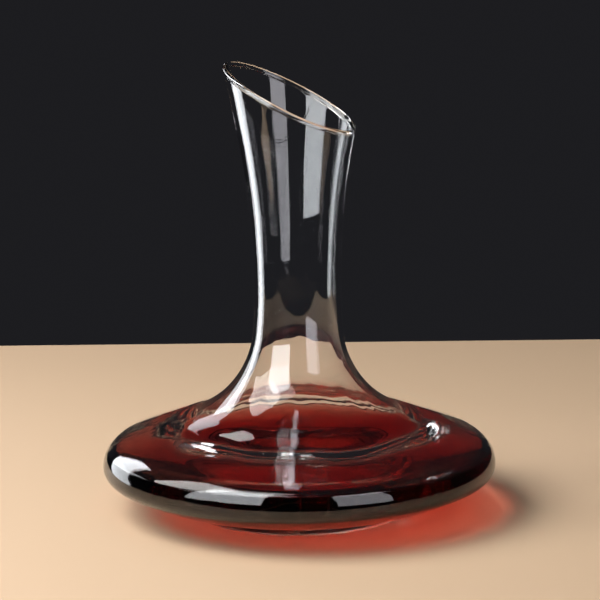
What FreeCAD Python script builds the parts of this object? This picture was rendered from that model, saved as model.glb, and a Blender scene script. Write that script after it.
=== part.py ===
"""Wine decanter: a blown glass vessel with a slanted mouth, and the red wine that stands in it.

Frame: millimetres, +Z up. The origin is on the axis of revolution, on the surface that the foot
stands on. The high lip of the slanted mouth points to -X and the low pouring side to +X.

The vessel is one piece of glass: belly, neck, foot ring and the dome pushed up under it are one
wall. Its inside follows its outside at the wall's thickness from the mouth down to the belly, and
is thicker over the foot. The wine fills the same inside up to its level.
"""
import FreeCAD, Part
import Sketcher
import math
import os
from FreeCAD import Vector

DRIVING_SIZES = [
    ("wall", 2.4, "glass thickness of the belly and neck"),
    ("base_wall", 4.2, "glass thickness over the foot ring"),
    ("belly_radius", 109.0, "outside radius at the widest line"),
    ("belly_height", 26.4, "height of the widest line"),
    ("belly_arc_below", 8.2, "outside arc just below the widest line"),
    ("belly_arc_above", 15.3, "outside arc just above the widest line"),
    ("underside_arc", 152.0, "arc from the belly in to the foot"),
    ("shoulder_slope", 21.0, "degrees that the shoulder rises from level"),
    ("throat_arc", 54.0, "outside arc that turns the shoulder up into the neck"),
    ("waist_arc", 244.0, "outside arc from the throat up to the waist"),
    ("waist_radius", 23.6, "outside radius at the neck's narrowest place"),
    ("waist_height", 124.8, "height of the neck's narrowest place"),
    ("flare_arc", 443.0, "outside arc from the waist up to the straight flare"),
    ("flare_angle", 11.0, "degrees between the straight flare and the axis"),
    ("blank_height", 262.0, "height of the neck before the mouth is cut"),
    ("mouth_height", 229.8, "height at which the mouth's plane crosses the axis"),
    ("mouth_slope", 26.8, "degrees between the mouth's plane and level"),
    ("mouth_cut_reach", 60.0, "half the width of the piece cut off at the mouth"),
    ("rim_round", 1.05, "radius that the fire leaves on the rim"),
    ("foot_radius", 61.0, "outside radius of the foot ring"),
    ("foot_step", 4.2, "height at which the foot ring leaves the underside"),
    ("foot_edge_arc", 2.8, "arc at the outer edge of the foot ring"),
    ("foot_inner_radius", 54.0, "inside radius of the flat that touches the table"),
    ("foot_inner_arc", 5.0, "arc at the inner edge of the foot ring"),
    ("dome_height", 9.0, "height of the pushed-up dome above the table"),
    ("floor_height", 14.0, "height of the inside floor on the axis"),
    ("floor_corner_arc", 16.0, "inside arc where the floor meets the belly"),
    ("wine_level", 33.5, "height of the wine's surface, on the arc above the widest line"),
]
SIZES = {alias: value for alias, value, meaning in DRIVING_SIZES}

START, END, CENTRE = 1, 2, 3
ORIGIN_POINT = (-1, 1)
AXIS_OF_REVOLUTION = -2


def make_sheet(doc):
    """Write the driving sizes into a spreadsheet, one aliased plain number to a row."""
    sheet = doc.addObject("Spreadsheet::Sheet", "Sizes")
    for row, (alias, value, meaning) in enumerate(DRIVING_SIZES, start=1):
        sheet.set(f"A{row}", alias)
        sheet.set(f"B{row}", str(value))
        sheet.set(f"C{row}", meaning)
        sheet.setAlias(f"B{row}", alias)
    doc.recompute()


# ---- plane geometry; a point is (radius, height) ----

def toward(degrees, length):
    """Vector of the given direction and length."""
    angle = math.radians(degrees)
    return Vector(length * math.cos(angle), length * math.sin(angle), 0)


def bearing(vector):
    """Direction of a vector in degrees, from 0 to 360."""
    return math.degrees(math.atan2(vector.y, vector.x)) % 360


def left_of(vector):
    return Vector(-vector.y, vector.x, 0)


def circles_meet(centre_a, radius_a, centre_b, radius_b):
    """Where two circles cross, on the left of the line from a to b."""
    between = centre_b - centre_a
    along = (radius_a**2 - radius_b**2 + between.Length**2) / (2 * between.Length)
    across = math.sqrt(radius_a**2 - along**2)
    forward = between / between.Length
    return centre_a + forward * along + left_of(forward) * across


def line_meets_circle(point, direction, centre, radius):
    """Last crossing of a circle by a line that runs in a unit direction from a point."""
    offset = point - centre
    along = offset.dot(direction)
    reach = math.sqrt(along**2 - offset.dot(offset) + radius**2)
    return point + direction * (reach - along)


# ---- an outline in a sketch, held by tangents and by the sheet ----

class Outline:
    """Lines and arcs in a body's XZ plane, where x is the radius and y is the height."""

    def __init__(self, body, name):
        self.sketch = body.newObject("Sketcher::SketchObject", name)
        planes = body.Origin.OriginFeatures
        upright = next(plane for plane in planes if plane.Role == "XZ_Plane")
        self.sketch.AttachmentSupport = [(upright, "")]
        self.sketch.MapMode = "FlatFace"

    def line(self, start, end):
        return self.sketch.addGeometry(Part.LineSegment(start, end), False)

    def arc(self, centre, radius, first, last):
        """Arc that runs anticlockwise from the first direction to the last, in degrees."""
        circle = Part.Circle(centre, Vector(0, 0, 1), radius)
        curve = Part.ArcOfCircle(circle, math.radians(first), math.radians(last))
        return self.sketch.addGeometry(curve, False)

    def smooth(self, first, second):
        """Join two (curve, end) points with one tangent."""
        self.sketch.addConstraint(Sketcher.Constraint("Tangent", *first, *second))

    def corner(self, first, second):
        """Join two (curve, end) points without a tangent."""
        self.sketch.addConstraint(Sketcher.Constraint("Coincident", *first, *second))

    def align(self, kind, *elements):
        self.sketch.addConstraint(Sketcher.Constraint(kind, *elements))

    def on_axis(self, point):
        self.align("PointOnObject", *point, AXIS_OF_REVOLUTION)

    def bind(self, constraint, name, formula):
        """Add a named dimension that the sheet drives."""
        index = self.sketch.addConstraint(constraint)
        self.sketch.renameConstraint(index, name)
        self.sketch.setExpression(f"Constraints.{name}", formula)

    def radius(self, curve, name, formula):
        now = self.sketch.Geometry[curve].Radius
        self.bind(Sketcher.Constraint("Radius", curve, now), name, formula)

    def reach(self, point, name, formula):
        """Distance of a point from the axis."""
        now = self.sketch.getPoint(*point).x
        self.bind(Sketcher.Constraint("DistanceX", *ORIGIN_POINT, *point, now), name, formula)

    def height(self, point, name, formula):
        now = self.sketch.getPoint(*point).y
        self.bind(Sketcher.Constraint("DistanceY", *ORIGIN_POINT, *point, now), name, formula)

    def direction(self, line, name, formula, degrees):
        self.bind(Sketcher.Constraint("Angle", line, math.radians(degrees)), name, formula)


# ---- the surfaces of revolution ----

def arc_centres():
    """Centres of the arcs that the outside and the inside of the wall share."""
    belly = Vector(SIZES["belly_radius"], SIZES["belly_height"], 0)
    waist = Vector(SIZES["waist_radius"], SIZES["waist_height"], 0)
    high = belly - Vector(SIZES["belly_arc_above"], 0, 0)
    waist_centre = waist + Vector(SIZES["waist_arc"], 0, 0)
    upward = 90 - SIZES["shoulder_slope"]
    beside_shoulder = high + toward(upward, SIZES["belly_arc_above"] + SIZES["throat_arc"])
    throat = line_meets_circle(
        beside_shoulder, toward(upward + 90, 1), waist_centre, SIZES["waist_arc"] - SIZES["throat_arc"]
    )
    return {
        "low": belly - Vector(SIZES["belly_arc_below"], 0, 0),
        "high": high,
        "throat": throat,
        "waist": waist_centre,
        "flare": waist + Vector(SIZES["flare_arc"], 0, 0),
    }


def add_belly(outline, side, inset="0", rise="0", level=None):
    """Draw one surface of the belly, from over the foot ring up the shoulder's straight stretch.

    inset names how far the surface lies inside the outer one, and rise how far above it over
    the foot. The shoulder ends where the throat begins. A level given ends the surface on the
    arc above the widest line instead, with no shoulder.
    """
    depth = SIZES.get(inset, 0)
    centres = arc_centres()
    below = SIZES["belly_arc_below"] - depth
    above = SIZES["belly_arc_above"] - depth
    under = SIZES["underside_arc"]
    heel = Vector(SIZES["foot_radius"], SIZES["foot_step"] + SIZES.get(rise, 0), 0)
    under_centre = circles_meet(heel, under, centres["low"], under - below)
    turn = bearing(centres["low"] - under_centre)
    upward = 90 - SIZES["shoulder_slope"]
    crest = centres["high"] + toward(upward, above)
    shoulder_top = centres["throat"] - toward(upward, SIZES["throat_arc"] + depth)
    top = upward
    if level is not None:
        if not centres["high"].y < level < crest.y:
            raise RuntimeError("the wine's level is not on the arc above the widest line")
        top = math.degrees(math.asin((level - centres["high"].y) / above))

    curves = {
        "under": outline.arc(under_centre, under, bearing(heel - under_centre), turn),
        "low": outline.arc(centres["low"], below, turn, 360),
        "high": outline.arc(centres["high"], above, 0, top),
    }
    outline.smooth((curves["under"], END), (curves["low"], START))
    outline.smooth((curves["low"], END), (curves["high"], START))
    outline.align("Horizontal", curves["low"], CENTRE, curves["low"], END)
    less = "" if inset == "0" else f" - Sizes.{inset}"
    more = "" if rise == "0" else f" + Sizes.{rise}"
    outline.reach((curves["low"], END), f"{side}_belly_radius", f"Sizes.belly_radius{less}")
    outline.height((curves["low"], END), f"{side}_belly_height", "Sizes.belly_height")
    outline.radius(curves["low"], f"{side}_arc_below", f"Sizes.belly_arc_below{less}")
    outline.radius(curves["high"], f"{side}_arc_above", f"Sizes.belly_arc_above{less}")
    outline.radius(curves["under"], f"{side}_underside_arc", "Sizes.underside_arc")
    outline.reach((curves["under"], START), f"{side}_heel_radius", "Sizes.foot_radius")
    outline.height((curves["under"], START), f"{side}_heel_height", f"Sizes.foot_step{more}")
    if level is None:
        curves["shoulder"] = outline.line(crest, shoulder_top)
        outline.smooth((curves["high"], END), (curves["shoulder"], START))
        rising = "180 deg - Sizes.shoulder_slope * 1 deg"
        outline.direction(curves["shoulder"], f"{side}_shoulder", rising, 180 - SIZES["shoulder_slope"])
    return curves


def add_neck(outline, side, shoulder, inset="0"):
    """Draw one surface of the neck, from the top of the shoulder up the straight flare."""
    depth = SIZES.get(inset, 0)
    centres = arc_centres()
    upward = 90 - SIZES["shoulder_slope"]
    turn = bearing(centres["throat"] - centres["waist"])
    flare_arc = SIZES["flare_arc"] + depth
    flare_end = 180 - SIZES["flare_angle"]
    flare_top = centres["flare"] + toward(flare_end, flare_arc)
    lean = math.tan(math.radians(SIZES["flare_angle"]))
    climb = SIZES["blank_height"] - flare_top.y
    mouth = flare_top + Vector(climb * lean, climb, 0)

    throat = outline.arc(centres["throat"], SIZES["throat_arc"] + depth, turn, upward + 180)
    waist = outline.arc(centres["waist"], SIZES["waist_arc"] + depth, 180, turn)
    flare = outline.arc(centres["flare"], flare_arc, flare_end, 180)
    straight = outline.line(flare_top, mouth)
    outline.smooth((shoulder, END), (throat, END))
    outline.smooth((throat, START), (waist, END))
    outline.smooth((waist, START), (flare, END))
    outline.smooth((flare, START), (straight, START))
    outline.align("Horizontal", waist, CENTRE, waist, START)
    less = "" if inset == "0" else f" - Sizes.{inset}"
    more = "" if inset == "0" else f" + Sizes.{inset}"
    outline.radius(throat, f"{side}_throat_arc", f"Sizes.throat_arc{more}")
    outline.radius(waist, f"{side}_waist_arc", f"Sizes.waist_arc{more}")
    outline.radius(flare, f"{side}_flare_arc", f"Sizes.flare_arc{more}")
    outline.reach((waist, START), f"{side}_waist_radius", f"Sizes.waist_radius{less}")
    outline.height((waist, START), f"{side}_waist_height", "Sizes.waist_height")
    outline.height((straight, END), f"{side}_blank_height", "Sizes.blank_height")
    leaning = "90 deg - Sizes.flare_angle * 1 deg"
    outline.direction(straight, f"{side}_flare_angle", leaning, 90 - SIZES["flare_angle"])
    return straight


def dome_centre_height(apex, corner, corner_arc):
    """Height on the axis of the centre of a dome that meets an arc centred at corner.

    The dome and the arc curve opposite ways, so their centres are one dome radius plus one arc
    radius apart, and the dome's radius is its apex less its centre's height.
    """
    tall = apex + corner_arc
    return (tall**2 - corner.x**2 - corner.y**2) / (2 * (tall - corner.y))


def add_dome(outline, side, corner_curve, corner, corner_arc, apex, apex_formula):
    """Draw a dome on the axis, tangent to the arc that rings it."""
    centre = Vector(0, dome_centre_height(apex, corner, corner_arc), 0)
    dome = outline.arc(centre, apex - centre.y, bearing(corner - centre), 90)
    outline.smooth((dome, START), (corner_curve, START))
    outline.on_axis((dome, CENTRE))
    outline.on_axis((dome, END))
    outline.height((dome, END), f"{side}_dome_height", apex_formula)
    return dome


def add_foot(outline, under):
    """Draw the foot ring and the dome pushed up inside it."""
    edge_arc = SIZES["foot_edge_arc"]
    inner_arc = SIZES["foot_inner_arc"]
    edge = Vector(SIZES["foot_radius"] - edge_arc, edge_arc, 0)
    inner = Vector(SIZES["foot_inner_radius"], inner_arc, 0)
    dome_middle = Vector(0, dome_centre_height(SIZES["dome_height"], inner, inner_arc), 0)

    side_line = outline.line(
        Vector(SIZES["foot_radius"], SIZES["foot_step"], 0), edge + toward(0, edge_arc)
    )
    outer_edge = outline.arc(edge, edge_arc, 270, 360)
    flat = outline.line(Vector(inner.x, 0, 0), Vector(edge.x, 0, 0))
    inner_edge = outline.arc(inner, inner_arc, bearing(dome_middle - inner), 270)
    outline.corner((under, START), (side_line, START))
    outline.align("Vertical", side_line)
    outline.smooth((side_line, END), (outer_edge, END))
    outline.smooth((outer_edge, START), (flat, END))
    outline.align("Horizontal", flat)
    outline.smooth((flat, START), (inner_edge, END))
    outline.radius(outer_edge, "foot_edge_arc", "Sizes.foot_edge_arc")
    outline.radius(inner_edge, "foot_inner_arc", "Sizes.foot_inner_arc")
    outline.reach((flat, START), "foot_inner_radius", "Sizes.foot_inner_radius")
    outline.align("PointOnObject", flat, START, -1)
    return add_dome(
        outline, "under", inner_edge, inner, inner_arc, SIZES["dome_height"], "Sizes.dome_height"
    )


def add_floor(outline, under):
    """Draw the inside floor: an arc off the belly's inside, and a low dome on the axis."""
    corner_arc = SIZES["floor_corner_arc"]
    under_curve = outline.sketch.Geometry[under]
    heel = outline.sketch.getPoint(under, START)
    corner = heel + toward(bearing(under_curve.Center - heel), corner_arc)
    dome_middle = Vector(0, dome_centre_height(SIZES["floor_height"], corner, corner_arc), 0)
    ring = outline.arc(corner, corner_arc, bearing(dome_middle - corner), bearing(heel - corner))
    outline.smooth((ring, END), (under, START))
    outline.radius(ring, "floor_corner_arc", "Sizes.floor_corner_arc")
    return add_dome(
        outline, "floor", ring, corner, corner_arc, SIZES["floor_height"], "Sizes.floor_height"
    )


def close_on_axis(outline, lower, upper):
    """Draw the stretch of the axis between two (curve, end) points that lie on it."""
    axis = outline.line(outline.sketch.getPoint(*lower), outline.sketch.getPoint(*upper))
    outline.corner(lower, (axis, START))
    outline.corner((axis, END), upper)


def revolve(body, outline, name):
    """Turn an outline once round the axis."""
    turned = body.newObject("PartDesign::Revolution", name)
    turned.Profile = outline.sketch
    turned.ReferenceAxis = (outline.sketch, ["V_Axis"])
    turned.Angle = 360
    outline.sketch.Visibility = False
    return turned


# ---- the two pieces ----

def make_body(doc, label):
    body = doc.addObject("PartDesign::Body", label)
    body.Label = label
    return body


def make_glass_vessel(doc):
    """Blown vessel: the wall is revolved, the mouth is cut on a slant and its rim is rounded."""
    body = make_body(doc, "glass_vessel")
    wall = Outline(body, "WallOutline")
    outer_belly = add_belly(wall, "outer")
    outer_neck = add_neck(wall, "outer", outer_belly["shoulder"])
    inner_belly = add_belly(wall, "inner", inset="wall", rise="base_wall")
    inner_neck = add_neck(wall, "inner", inner_belly["shoulder"], inset="wall")
    top = wall.line(
        wall.sketch.getPoint(inner_neck, END), wall.sketch.getPoint(outer_neck, END)
    )
    wall.corner((inner_neck, END), (top, START))
    wall.corner((top, END), (outer_neck, END))
    under_dome = add_foot(wall, outer_belly["under"])
    floor = add_floor(wall, inner_belly["under"])
    close_on_axis(wall, (under_dome, END), (floor, END))
    revolve(body, wall, "Wall")
    doc.recompute()

    mouth = Outline(body, "MouthOutline")
    reach = SIZES["mouth_cut_reach"]
    drop = reach * math.tan(math.radians(SIZES["mouth_slope"]))
    above = SIZES["mouth_height"] + drop + reach
    corners = [
        Vector(-reach, SIZES["mouth_height"] + drop, 0),
        Vector(reach, SIZES["mouth_height"] - drop, 0),
        Vector(reach, above, 0),
        Vector(-reach, above, 0),
    ]
    lines = [mouth.line(corners[i], corners[(i + 1) % 4]) for i in range(4)]
    for i in range(4):
        mouth.corner((lines[i], END), (lines[(i + 1) % 4], START))
    slant, right, over, left = lines
    mouth.align("Vertical", right)
    mouth.align("Vertical", left)
    mouth.align("Horizontal", over)
    mouth.direction(slant, "mouth_slope", "-Sizes.mouth_slope * 1 deg", -SIZES["mouth_slope"])
    mouth.reach((slant, END), "cut_right", "Sizes.mouth_cut_reach")
    mouth.reach((slant, START), "cut_left", "-Sizes.mouth_cut_reach")
    across = "Sizes.mouth_cut_reach * tan(Sizes.mouth_slope * 1 deg)"
    mouth.height((slant, END), "cut_low", f"Sizes.mouth_height - {across}")
    mouth.height((over, START), "cut_top", f"Sizes.mouth_height + {across} + Sizes.mouth_cut_reach")
    cut = body.newObject("PartDesign::Pocket", "MouthCut")
    cut.Profile = mouth.sketch
    cut.Midplane = True
    cut.Length = 2 * reach
    cut.setExpression("Length", "Sizes.mouth_cut_reach * 2")
    mouth.sketch.Visibility = False
    doc.recompute()

    rim = body.newObject("PartDesign::Fillet", "FirePolishedRim")
    rim.Base = (cut, rim_edges(cut.Shape))
    rim.Radius = SIZES["rim_round"]
    rim.setExpression("Radius", "Sizes.rim_round")
    doc.recompute()
    body.Tip = rim
    return body


def rim_edges(shape):
    """Names of the two edges of the slanted flat that the mouth's cut leaves."""
    slope = math.radians(SIZES["mouth_slope"])
    normal = Vector(math.sin(slope), 0, math.cos(slope))
    for face in shape.Faces:
        flat = isinstance(face.Surface, Part.Plane)
        if flat and abs(face.normalAt(0, 0).dot(normal)) > 0.999:
            wanted = face.Edges
    return [
        f"Edge{number}"
        for number, edge in enumerate(shape.Edges, start=1)
        if any(edge.isSame(other) for other in wanted)
    ]


def make_red_wine(doc):
    """Wine: it fills the inside of the vessel from the floor up to its level."""
    body = make_body(doc, "red_wine")
    pool = Outline(body, "WineOutline")
    level = SIZES["wine_level"]
    belly = add_belly(pool, "wine", inset="wall", rise="base_wall", level=level)
    floor = add_floor(pool, belly["under"])
    surface = pool.line(pool.sketch.getPoint(belly["high"], END), Vector(0, level, 0))
    pool.corner((belly["high"], END), (surface, START))
    pool.align("Horizontal", surface)
    pool.on_axis((surface, END))
    pool.height((surface, END), "wine_level", "Sizes.wine_level")
    close_on_axis(pool, (floor, END), (surface, END))
    revolve(body, pool, "Pool")
    doc.recompute()
    return body


def check_and_write(doc, bodies):
    """Refuse a failed object or an invalid shape, then write one file to each piece."""
    for thing in doc.Objects:
        if {"Invalid", "Error"} & set(thing.State):
            raise RuntimeError(f"{thing.Name} failed: {thing.State}")
    for body in bodies:
        if body.Shape.isNull() or not body.Shape.isValid() or len(body.Shape.Solids) != 1:
            raise RuntimeError(f"{body.Label} is not one valid solid")
    os.makedirs("parts", exist_ok=True)
    for body in bodies:
        body.Shape.exportStep(f"parts/{body.Label}.step")
        box = body.Shape.optimalBoundingBox()
        print(
            f"{body.Label}: {body.Shape.Volume / 1000:.1f} ml,",
            f"x {box.XMin:.1f} to {box.XMax:.1f}, z {box.ZMin:.2f} to {box.ZMax:.1f}",
        )
    shared = bodies[0].Shape.common(bodies[1].Shape).Volume
    print(f"volume shared by glass and wine: {shared:.3f} cubic mm")


def main():
    doc = FreeCAD.newDocument("wine_decanter")
    make_sheet(doc)
    bodies = [make_glass_vessel(doc), make_red_wine(doc)]
    check_and_write(doc, bodies)


main()
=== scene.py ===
"""Looks of the wine decanter: blown glass with a fire-polished mouth, and the wine inside it.

Metres, in the CAD frame: the origin is on the axis, on the surface that the foot stands on, and
the high lip of the slanted mouth points to -X.
"""
import bpy
import math
from mathutils import Matrix, Vector, noise


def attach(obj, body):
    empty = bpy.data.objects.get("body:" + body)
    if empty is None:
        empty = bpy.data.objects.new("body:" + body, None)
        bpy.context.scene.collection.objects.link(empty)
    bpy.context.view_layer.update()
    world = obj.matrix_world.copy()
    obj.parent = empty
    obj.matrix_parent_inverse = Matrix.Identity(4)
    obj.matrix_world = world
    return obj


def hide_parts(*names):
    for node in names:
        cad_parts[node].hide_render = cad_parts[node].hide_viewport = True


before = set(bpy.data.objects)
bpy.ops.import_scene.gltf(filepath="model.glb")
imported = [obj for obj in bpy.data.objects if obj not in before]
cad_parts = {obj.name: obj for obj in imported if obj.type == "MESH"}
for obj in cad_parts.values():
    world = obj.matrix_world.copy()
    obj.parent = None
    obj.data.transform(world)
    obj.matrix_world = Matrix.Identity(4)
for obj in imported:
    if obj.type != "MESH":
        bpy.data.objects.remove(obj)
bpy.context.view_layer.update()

MM = 0.001

# ---- sizes of the vessel ----
WALL = 2.4 * MM
BASE_WALL = 4.2 * MM
BELLY_RADIUS = 109.0 * MM
BELLY_HEIGHT = 26.4 * MM
BELLY_ARC_BELOW = 8.2 * MM
BELLY_ARC_ABOVE = 15.3 * MM
UNDERSIDE_ARC = 152.0 * MM
SHOULDER_SLOPE = math.radians(21)
THROAT_ARC = 54.0 * MM
WAIST_ARC = 244.0 * MM
WAIST_RADIUS = 23.6 * MM
WAIST_HEIGHT = 124.8 * MM
FLARE_ARC = 443.0 * MM
FLARE_ANGLE = math.radians(11)
MOUTH_HEIGHT = 229.8 * MM
MOUTH_SLOPE = math.radians(26.8)
FOOT_RADIUS = 61.0 * MM
FOOT_STEP = 4.2 * MM
FOOT_EDGE_ARC = 2.8 * MM
FOOT_INNER_RADIUS = 54.0 * MM
FOOT_INNER_ARC = 5.0 * MM
DOME_HEIGHT = 9.0 * MM
FLOOR_HEIGHT = 14.0 * MM
FLOOR_CORNER_ARC = 16.0 * MM
WINE_LEVEL = 33.5 * MM

# ---- how the pieces are meshed ----
TURNS = 240                 # faces round the axis
ARC_ERROR = 0.006 * MM      # how far a face may cut inside an arc of the outline
LINE_STEP = 1.8 * MM        # face along a straight stretch of the outline
LIP_STEPS = 30              # faces over the rounded lip
LIP_BEAD = 0.45 * MM        # how far the fire-polished lip swells past the wall, inside and outside
BLOWN_RIPPLE = 0.10 * MM    # how far the inside of blown glass wanders
GATHER_RADIUS = 68.0 * MM   # ring on the shoulder where the glass gathered thicker
GATHER_WIDTH = 9.0 * MM
GATHER_DEPTH = 2.4 * MM
THROAT_RIPPLE = 0.18 * MM   # how far the glass wanders in the throat
WINE_OVERLAP = 0.25 * MM    # how far the wine's mesh reaches into the glass, so no air shows
RISE_RINGS = 12             # rings up each side of the straight flare
RISE_CROWDING = 1.4         # how much closer they stand towards the lip
RIPPLE_GROWTH = 3           # the ripple grows in over a third of the way down from the lip
SURFACE_RINGS = 24          # rings across the wine's level surface
ON_AXIS = 1e-7              # a point nearer the axis than this is a pole

# ---- how blown glass wanders: AROUND with the direction, RISE with each metre of height ----
STREAK_AROUND, STREAK_RISE = 2.2, 9
SWAY_AROUND, SWAY_RISE, SWAY_SHIFT = 0.9, 16, 7
RING_AROUND, RING_LAYER = 2.0, 4.0
RING_SHIFT = 0.05           # how far the ring on the shoulder strays, as a share of its radius
RING_SWELL = 0.5            # how much its depth varies, as a share
RING_INWARD, RING_DOWN = 0.36, 0.93    # it swells square to the shoulder
THROAT_AROUND, THROAT_RISE = 3.5, 22
THROAT_HEIGHT = 80 * MM
THROAT_REACH = 22 * MM

# ---- materials ----
GLASS_COLOUR = (0.985, 0.99, 0.99, 1)
GLASS_IOR = 1.52
WAVE_SCALE = (55, 55, 14)   # waves per metre in the glass: long ones, up its surface
WAVE_DETAIL = 2.0
WAVE_STRENGTH = 0.35
WAVE_DEPTH = 0.6 * MM
WINE_IOR = 1.345
WINE_COLOUR = (0.76, 0.16, 0.06, 1)
WINE_DENSITY = 130
FLOOR_COLOUR = (0.72, 0.52, 0.35, 1)
FLOOR_ROUGHNESS = 0.6
ROOM_COLOUR = (0.012, 0.012, 0.014, 1)

# ---- camera and room ----
CAMERA_DISTANCE = 1.800
CAMERA_AZIMUTH = math.radians(14.1)    # turned from the -Y side towards +X
CAMERA_ELEVATION = math.radians(15.03)
CAMERA_LENS = 193.1
CAMERA_ROLL = math.radians(-0.61)
AIM_HEIGHT = 118.2 * MM
AIM_ASIDE = 1.3 * MM
CLIP_START = 0.05
FLOOR_REACH = 0.44
FLOOR_FRONT = 0.24          # how far the floor reaches towards the camera
FLOOR_DROP = 0.1 * MM       # gap between the foot and the floor
LIGHT_BOUNCES = 32          # light crosses a dozen faces on its way down to the floor and up again
COOL_LIGHT = (0.93, 0.96, 1.0)
PANEL_LIGHT = (0.95, 0.93, 1.0)
STRIP_LIGHT = (0.92, 0.93, 1.0)
WARM_LIGHT = (1.0, 0.98, 0.95)


# ---- plane geometry; a point is (radius, height) ----

def toward(angle, length):
    return Vector((length * math.cos(angle), length * math.sin(angle)))


def bearing(vector):
    return math.atan2(vector.y, vector.x)


def arc_points(centre, radius, first, last):
    """Points along an arc, without its last one, so that outlines can be chained."""
    step = math.sqrt(8 * radius * ARC_ERROR)
    steps = max(4, math.ceil(abs(last - first) * radius / step))
    return [centre + toward(first + (last - first) * i / steps, radius) for i in range(steps)]


def line_points(start, end):
    steps = max(1, math.ceil((end - start).length / LINE_STEP))
    return [start.lerp(end, i / steps) for i in range(steps)]


def circles_meet(centre_a, radius_a, centre_b, radius_b):
    """Where two circles cross, on the left of the line from a to b."""
    between = centre_b - centre_a
    along = (radius_a**2 - radius_b**2 + between.length_squared) / (2 * between.length)
    forward = between.normalized()
    left = Vector((-forward.y, forward.x))
    return centre_a + forward * along + left * math.sqrt(radius_a**2 - along**2)


def dome_centre(apex, corner, corner_arc):
    """Centre of the dome that meets an arc of the opposite bend centred at corner."""
    tall = apex + corner_arc
    return Vector((0, (tall**2 - corner.length_squared) / (2 * (tall - corner.y))))


LOW_CENTRE = Vector((BELLY_RADIUS - BELLY_ARC_BELOW, BELLY_HEIGHT))
HIGH_CENTRE = Vector((BELLY_RADIUS - BELLY_ARC_ABOVE, BELLY_HEIGHT))
WAIST_CENTRE = Vector((WAIST_RADIUS + WAIST_ARC, WAIST_HEIGHT))
FLARE_CENTRE = Vector((WAIST_RADIUS + FLARE_ARC, WAIST_HEIGHT))
SHOULDER_NORMAL = math.pi / 2 - SHOULDER_SLOPE


def throat_centre():
    """Centre of the arc that is tangent to the shoulder's straight line and the waist's arc."""
    along = toward(SHOULDER_NORMAL + math.pi / 2, 1)
    start = HIGH_CENTRE + toward(SHOULDER_NORMAL, BELLY_ARC_ABOVE + THROAT_ARC)
    offset = start - WAIST_CENTRE
    across = offset.dot(along)
    gap = WAIST_ARC - THROAT_ARC
    return start + along * (math.sqrt(across**2 - offset.length_squared + gap**2) - across)


THROAT_CENTRE = throat_centre()


def belly_outline(inset, rise):
    """From over the foot ring, round the belly, to where the shoulder's straight stretch ends."""
    heel = Vector((FOOT_RADIUS, FOOT_STEP + rise))
    below = BELLY_ARC_BELOW - inset
    above = BELLY_ARC_ABOVE - inset
    under_centre = circles_meet(heel, UNDERSIDE_ARC, LOW_CENTRE, UNDERSIDE_ARC - below)
    turn = bearing(LOW_CENTRE - under_centre)
    crest = HIGH_CENTRE + toward(SHOULDER_NORMAL, above)
    shoulder_end = THROAT_CENTRE - toward(SHOULDER_NORMAL, THROAT_ARC + inset)
    return (
        arc_points(under_centre, UNDERSIDE_ARC, bearing(heel - under_centre), turn)
        + arc_points(LOW_CENTRE, below, turn, 0)
        + arc_points(HIGH_CENTRE, above, 0, SHOULDER_NORMAL)
        + line_points(crest, shoulder_end)
        + [shoulder_end]
    )


def neck_outline(inset):
    """From the shoulder up to the start of the straight flare."""
    turn = bearing(THROAT_CENTRE - WAIST_CENTRE) % (2 * math.pi)
    flare_end = math.pi - FLARE_ANGLE
    return (
        arc_points(THROAT_CENTRE, THROAT_ARC + inset, SHOULDER_NORMAL + math.pi, turn)[1:]
        + arc_points(WAIST_CENTRE, WAIST_ARC + inset, turn, math.pi)
        + arc_points(FLARE_CENTRE, FLARE_ARC + inset, math.pi, flare_end)
        + [FLARE_CENTRE + toward(flare_end, FLARE_ARC + inset)]
    )


def floor_outline():
    """The inside floor, from the axis out to the belly's inside."""
    heel = Vector((FOOT_RADIUS, FOOT_STEP + BASE_WALL))
    below = BELLY_ARC_BELOW - WALL
    under_centre = circles_meet(heel, UNDERSIDE_ARC, LOW_CENTRE, UNDERSIDE_ARC - below)
    corner = heel + (under_centre - heel).normalized() * FLOOR_CORNER_ARC
    middle = dome_centre(FLOOR_HEIGHT, corner, FLOOR_CORNER_ARC)
    meet = bearing(corner - middle)
    return (
        arc_points(middle, FLOOR_HEIGHT - middle.y, math.pi / 2, meet)
        + arc_points(corner, FLOOR_CORNER_ARC, meet - math.pi, bearing(heel - corner))
    )


def foot_outline():
    """The underneath, from the dome on the axis out over the foot ring to the underside."""
    edge = Vector((FOOT_RADIUS - FOOT_EDGE_ARC, FOOT_EDGE_ARC))
    inner = Vector((FOOT_INNER_RADIUS, FOOT_INNER_ARC))
    middle = dome_centre(DOME_HEIGHT, inner, FOOT_INNER_ARC)
    meet = bearing(inner - middle)
    flat_start = Vector((inner.x, 0))
    return (
        arc_points(middle, DOME_HEIGHT - middle.y, math.pi / 2, meet)
        + arc_points(inner, FOOT_INNER_ARC, meet - math.pi, -math.pi / 2)
        + line_points(flat_start, Vector((edge.x, 0)))
        + arc_points(edge, FOOT_EDGE_ARC, -math.pi / 2, 0)
        + line_points(edge + Vector((FOOT_EDGE_ARC, 0)), Vector((FOOT_RADIUS, FOOT_STEP)))
    )


# ---- meshes of revolution ----

def smooth_noise(direction, around, layer, shift=0.0):
    """Smooth noise round the axis. Around says how fast it changes, and layer picks its level."""
    return noise.noise(Vector((direction.x * around + shift, direction.y * around, layer)))


def blown_ripple(direction, height):
    """How far blown glass wanders at a place inside the vessel: mostly streaks that run upward."""
    streak = smooth_noise(direction, STREAK_AROUND, height * STREAK_RISE)
    sway = smooth_noise(direction, SWAY_AROUND, height * SWAY_RISE, SWAY_SHIFT)
    return BLOWN_RIPPLE * (streak + sway)


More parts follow.
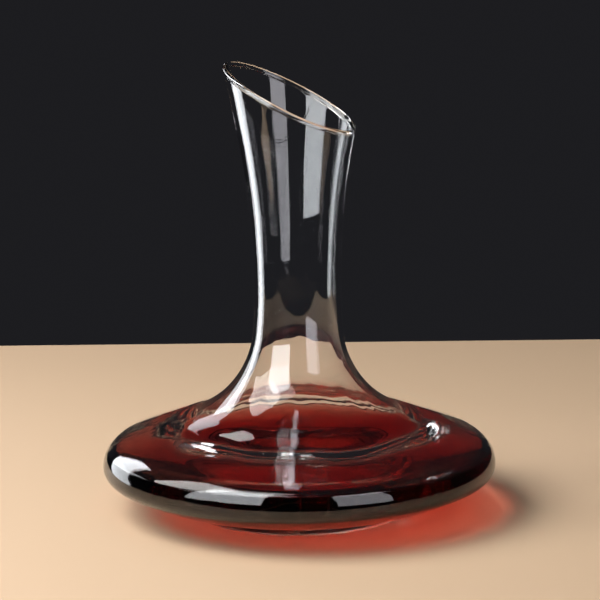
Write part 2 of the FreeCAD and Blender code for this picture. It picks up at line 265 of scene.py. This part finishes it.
def gathered(direction, radius, height):
    """How much thicker the wall is at a place: a ring on the shoulder, and an uneven throat."""
    if height < WINE_LEVEL:
        return 0.0
    wander = smooth_noise(direction, RING_AROUND, RING_LAYER)
    off = (radius - GATHER_RADIUS * (1 + RING_SHIFT * wander)) / GATHER_WIDTH
    ring = GATHER_DEPTH * (1 + RING_SWELL * wander) * math.exp(-off**2)
    in_throat = math.exp(-((height - THROAT_HEIGHT) / THROAT_REACH)**2)
    uneven = smooth_noise(direction, THROAT_AROUND, height * THROAT_RISE)
    return ring + THROAT_RIPPLE * in_throat * uneven


def mesh_object(name, rings, materials, ring_material=None):
    """Skin closed rings of points, from pole to pole, into one smooth closed mesh."""
    vertices = []
    faces = []
    counts = []
    starts = []
    for ring in rings:
        starts.append(len(vertices))
        counts.append(len(ring))
        vertices.extend(ring)
    slots = []
    for index in range(len(rings) - 1):
        lower, upper = starts[index], starts[index + 1]
        for turn in range(TURNS):
            after = (turn + 1) % TURNS
            if counts[index] == 1:
                faces.append((lower, upper + after, upper + turn))
            elif counts[index + 1] == 1:
                faces.append((lower + turn, lower + after, upper))
            else:
                faces.append((lower + turn, lower + after, upper + after, upper + turn))
            slots.append(ring_material(index) if ring_material else 0)
    mesh = bpy.data.meshes.new(name)
    mesh.from_pydata(vertices, [], faces)
    mesh.polygons.foreach_set("use_smooth", [True] * len(faces))
    for material in materials:
        mesh.materials.append(material)
    mesh.polygons.foreach_set("material_index", slots)
    mesh.update()
    piece = bpy.data.objects.new(name, mesh)
    bpy.context.scene.collection.objects.link(piece)
    return piece


def turned_direction(turn):
    angle = 2 * math.pi * turn / TURNS
    return Vector((math.cos(angle), math.sin(angle), 0))


def spun_ring(point, blown=False):
    """One ring of the mesh: a point of an outline turned round the axis. Blown glass wanders."""
    radius, height = point
    if radius < ON_AXIS:
        return [Vector((0, 0, height))]
    ring = []
    for turn in range(TURNS):
        direction = turned_direction(turn)
        ripple = blown_ripple(direction, height) if blown else 0.0
        thicker = gathered(direction, radius, height) if blown else 0.0
        reach = radius + ripple - RING_INWARD * thicker
        ring.append(direction * reach + Vector((0, 0, height - RING_DOWN * thicker)))
    return ring


def flare_radius(height, inset):
    """Radius of the straight flare at a height."""
    bend = FLARE_CENTRE + toward(math.pi - FLARE_ANGLE, FLARE_ARC + inset)
    return bend.x + (height - bend.y) * math.tan(FLARE_ANGLE)


def lip_height(direction):
    """Height at which the middle of the wall meets the mouth's plane."""
    slope = math.tan(MOUTH_SLOPE) * direction.x
    flare = math.tan(FLARE_ANGLE)
    base = flare_radius(0, WALL / 2)
    return (MOUTH_HEIGHT - slope * base) / (1 + slope * flare)


def mouth_rings(outer_bend, inner_bend):
    """Rings from the top of the flare's arc, up the outside, over the lip and down the inside."""
    thick = WALL / 2
    bead = thick + LIP_BEAD
    crease = math.acos(thick / bead)
    lip_end = RISE_RINGS + LIP_STEPS
    rings = []
    for step in range(1, lip_end + RISE_RINGS):
        ring = []
        for turn in range(TURNS):
            direction = turned_direction(turn)
            lip = lip_height(direction) - bead
            wall_top = lip - bead * math.sin(crease)
            if step < RISE_RINGS:
                share = 1 - (1 - step / RISE_RINGS)**RISE_CROWDING
                height = outer_bend.y + (wall_top - outer_bend.y) * share
                radius = flare_radius(height, 0)
            elif step <= lip_end:
                over = (math.pi + 2 * crease) * (step - RISE_RINGS) / LIP_STEPS - crease
                height = lip + bead * math.sin(over)
                radius = flare_radius(height, WALL / 2) + bead * math.cos(over)
            else:
                share = (step - lip_end) / RISE_RINGS
                height = wall_top + (inner_bend.y - wall_top) * share**RISE_CROWDING
                ripple = blown_ripple(direction, height) * min(1, share * RIPPLE_GROWTH)
                radius = flare_radius(height, WALL) + ripple
            ring.append(direction * radius + Vector((0, 0, height)))
        rings.append(ring)
    return rings


def make_vessel(materials):
    """The blown glass: one closed skin from the dome underneath, over the lip, to the floor."""
    outside = foot_outline() + belly_outline(0, 0) + neck_outline(0)
    inside = floor_outline() + belly_outline(WALL, BASE_WALL) + neck_outline(WALL)
    outer_rings = [spun_ring(point) for point in outside]
    inner_rings = [spun_ring(point, blown=True) for point in reversed(inside)]
    mouth = mouth_rings(outside[-1], inside[-1])
    rings = outer_rings + mouth + inner_rings
    wetted_from = len(outer_rings) + len(mouth)
    heights = [point.y for point in reversed(inside)]

    def wall_material(index):
        place = index - wetted_from
        return 1 if place >= 0 and heights[min(place, len(heights) - 1)] <= WINE_LEVEL else 0

    return mesh_object("blown_vessel", rings, materials, wall_material)


def make_wine(materials):
    """The wine: it takes the vessel's inside shape and has a level surface."""
    wall = floor_outline() + belly_outline(WALL - WINE_OVERLAP, BASE_WALL - WINE_OVERLAP)
    wet = [point for point in wall if point.y < WINE_LEVEL]
    last = wet[-1]
    nearer = wall[len(wet)]
    share = (WINE_LEVEL - last.y) / (nearer.y - last.y)
    shore = last.lerp(nearer, share)
    rings = [spun_ring(point, blown=True) for point in wet + [shore]]
    for step in range(1, SURFACE_RINGS + 1):
        rings.append(spun_ring(Vector((shore.x * (1 - step / SURFACE_RINGS), WINE_LEVEL))))
    pool = mesh_object("wine_pool", rings, materials)
    face_count = len(pool.data.polygons)
    open_face = [1.0 if face // TURNS >= len(wet) else 0.0 for face in range(face_count)]
    open_surface = pool.data.attributes.new("open_surface", "FLOAT", "FACE")
    open_surface.data.foreach_set("value", open_face)
    return pool


# ---- making the materials ----

def shader(name):
    material = bpy.data.materials.new(name)
    material.use_nodes = True
    tree = material.node_tree
    return material, tree, tree.nodes["Principled BSDF"]


def clear_shader(name, colour, ior):
    material, tree, bsdf = shader(name)
    bsdf.inputs["Base Color"].default_value = colour
    bsdf.inputs["Roughness"].default_value = 0.0
    bsdf.inputs["IOR"].default_value = ior
    bsdf.inputs["Transmission Weight"].default_value = 1.0
    return material, tree, bsdf


def glass_material(name, wetted=False):
    """Clear blown glass, with the faint waves that run up its surface.

    Where wine touches the glass it is wetted, and doesn't shine.
    """
    material, tree, bsdf = clear_shader(name, GLASS_COLOUR, GLASS_IOR)
    if wetted:
        bsdf.inputs["Specular Tint"].default_value = (0, 0, 0, 1)
    place_node = tree.nodes.new("ShaderNodeTexCoord")
    stretch = tree.nodes.new("ShaderNodeMapping")
    stretch.inputs["Scale"].default_value = WAVE_SCALE
    waves = tree.nodes.new("ShaderNodeTexNoise")
    waves.inputs["Scale"].default_value = 1.0
    waves.inputs["Detail"].default_value = WAVE_DETAIL
    bump = tree.nodes.new("ShaderNodeBump")
    bump.inputs["Strength"].default_value = WAVE_STRENGTH
    bump.inputs["Distance"].default_value = WAVE_DEPTH
    tree.links.new(place_node.outputs["Object"], stretch.inputs["Vector"])
    tree.links.new(stretch.outputs["Vector"], waves.inputs["Vector"])
    tree.links.new(waves.outputs["Fac"], bump.inputs["Height"])
    tree.links.new(bump.outputs["Normal"], bsdf.inputs["Normal"])
    return material


def wine_material():
    """Red wine. Its walls touch the glass and don't shine, and only its open surface does."""
    material, tree, bsdf = clear_shader("red_wine", (1, 1, 1, 1), WINE_IOR)
    surface = tree.nodes.new("ShaderNodeAttribute")
    surface.attribute_name = "open_surface"
    tree.links.new(surface.outputs["Fac"], bsdf.inputs["Specular Tint"])
    absorb = tree.nodes.new("ShaderNodeVolumeAbsorption")
    absorb.inputs["Color"].default_value = WINE_COLOUR
    absorb.inputs["Density"].default_value = WINE_DENSITY
    tree.links.new(absorb.outputs["Volume"], tree.nodes["Material Output"].inputs["Volume"])
    return material


def floor_material():
    material, _, bsdf = shader("pale_floor")
    bsdf.inputs["Base Color"].default_value = FLOOR_COLOUR
    bsdf.inputs["Roughness"].default_value = FLOOR_ROUGHNESS
    return material


# ---- making the room ----

def camera_frame():
    """Directions from the object: towards the camera along the floor, and to the camera's right."""
    towards = Vector((math.sin(CAMERA_AZIMUTH), -math.cos(CAMERA_AZIMUTH), 0))
    right = Vector((math.cos(CAMERA_AZIMUTH), math.sin(CAMERA_AZIMUTH), 0))
    return towards, right


def add_camera():
    towards, right = camera_frame()
    up = Vector((0, 0, 1))
    towards_eye = math.cos(CAMERA_ELEVATION) * towards + math.sin(CAMERA_ELEVATION) * up
    eye = CAMERA_DISTANCE * towards_eye
    aim = up * AIM_HEIGHT + right * AIM_ASIDE
    data = bpy.data.cameras.new("camera")
    data.lens = CAMERA_LENS
    data.clip_start = CLIP_START
    camera = bpy.data.objects.new("camera", data)
    bpy.context.scene.collection.objects.link(camera)
    look = (aim - eye).to_track_quat("-Z", "Y").to_matrix()
    rolled = look @ Matrix.Rotation(CAMERA_ROLL, 3, "Z")
    camera.matrix_world = Matrix.Translation(eye) @ rolled.to_4x4()
    bpy.context.scene.camera = camera


def add_floor():
    towards, right = camera_frame()
    drop = Vector((0, 0, -FLOOR_DROP))
    across = right * FLOOR_REACH
    front = towards * FLOOR_FRONT + drop
    back = -towards * FLOOR_REACH + drop
    corners = [front - across, front + across, back + across, back - across]
    mesh = bpy.data.meshes.new("floor")
    mesh.from_pydata(corners, [], [(0, 1, 2, 3)])
    mesh.materials.append(floor_material())
    floor = bpy.data.objects.new("floor", mesh)
    bpy.context.scene.collection.objects.link(floor)


def place(azimuth, distance, height):
    """Point at an azimuth from the camera's side, positive to the camera's right."""
    towards, right = camera_frame()
    angle = math.radians(azimuth)
    return (towards * math.cos(angle) + right * math.sin(angle)) * distance + Vector((0, 0, height))


def add_panel(name, middle, axes, width, height, radiance, colour):
    """Flat light that shines along its own -Z; radiance is what its face shows."""
    data = bpy.data.lights.new(name, "AREA")
    data.shape = "RECTANGLE"
    data.size = width
    data.size_y = height
    data.energy = radiance * math.pi * width * height
    data.color = colour
    light = bpy.data.objects.new(name, data)
    bpy.context.scene.collection.objects.link(light)
    light.matrix_world = Matrix.Translation(middle) @ axes.to_4x4()
    light.visible_camera = False
    return light


def add_softbox(name, azimuth, distance, low, high, width, radiance, colour, lean=0):
    """Softbox that faces the object; lean turns its top away from the camera, in degrees.

    It shapes the reflections and leaves the floor alone.
    """
    middle = place(azimuth, distance, (low + high) / 2)
    facing = Vector((-middle.x, -middle.y, 0)).to_track_quat("-Z", "Y").to_matrix()
    axes = facing @ Matrix.Rotation(math.radians(lean), 3, "Z")
    add_panel(name, middle, axes, width, high - low, radiance, colour).visible_diffuse = False


def add_wash(name, size, height, radiance, colour):
    """Very wide light overhead that only evens out the floor."""
    axes = Matrix.Identity(3)
    wash = add_panel(name, Vector((0, 0, height)), axes, size, size, radiance, colour)
    wash.visible_glossy = False
    wash.visible_transmission = False


def add_key(name, azimuth, distance, height, size, radiance, colour):
    """Broad soft light from above that lights the floor, and the wine right through."""
    middle = place(azimuth, distance, height)
    facing = (-middle).to_track_quat("-Z", "Y").to_matrix()
    add_panel(name, middle, facing, size, size, radiance, colour).visible_glossy = False


def add_overhead(name, width, length, behind, aside, height, radiance, colour):
    """Long softbox that hangs over the object and runs away from the camera."""
    towards, right = camera_frame()
    middle = -behind * towards + aside * right + Vector((0, 0, height))
    axes = Matrix((right, -towards, Vector((0, 0, 1)))).transposed()
    add_panel(name, middle, axes, width, length, radiance, colour)


def add_lights():
    add_softbox("left_softbox", azimuth=-128, distance=0.62, low=-0.12, high=0.52, width=0.24,
                radiance=4.4, colour=COOL_LIGHT, lean=28)
    add_softbox("front_left_softbox", azimuth=-43, distance=0.66, low=0.15, high=1.00, width=0.54,
                radiance=6, colour=COOL_LIGHT)
    add_softbox("right_panel", azimuth=35, distance=0.52, low=0.06, high=0.45, width=0.28,
                radiance=3, colour=PANEL_LIGHT)
    add_overhead("overhead_strip", width=0.08, length=1.3, behind=0.45, aside=-0.06, height=1.5,
                 radiance=3, colour=STRIP_LIGHT)
    add_key("front_key", azimuth=-43, distance=0.80, height=0.90, size=0.80,
            radiance=4.0, colour=WARM_LIGHT)
    add_key("left_key", azimuth=-84, distance=0.85, height=0.95, size=0.80,
            radiance=7.5, colour=WARM_LIGHT)
    add_wash("floor_wash", size=1.6, height=1.6, radiance=0.25, colour=WARM_LIGHT)


def add_world():
    world = bpy.data.worlds.new("dark_room")
    world.use_nodes = True
    world.node_tree.nodes["Background"].inputs["Color"].default_value = ROOM_COLOUR
    bpy.context.scene.world = world


def finish_pieces():
    dry = glass_material("clear_glass")
    wetted = glass_material("clear_glass_wetted", wetted=True)
    vessel = make_vessel([dry, wetted])
    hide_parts("glass_vessel")
    wine = make_wine([wine_material()])
    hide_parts("red_wine")
    for piece in (vessel, wine):
        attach(piece, "root")


def set_picture():
    """Plain colours, and light that is followed far enough through the glass and the wine."""
    scene = bpy.context.scene
    scene.view_settings.view_transform = "Standard"
    scene.cycles.max_bounces = LIGHT_BOUNCES
    scene.cycles.transmission_bounces = LIGHT_BOUNCES
    scene.cycles.glossy_bounces = LIGHT_BOUNCES
    scene.cycles.blur_glossy = 0.0    # keeps the glow that the wine casts on the floor


finish_pieces()
add_floor()
add_lights()
add_world()
add_camera()
set_picture()
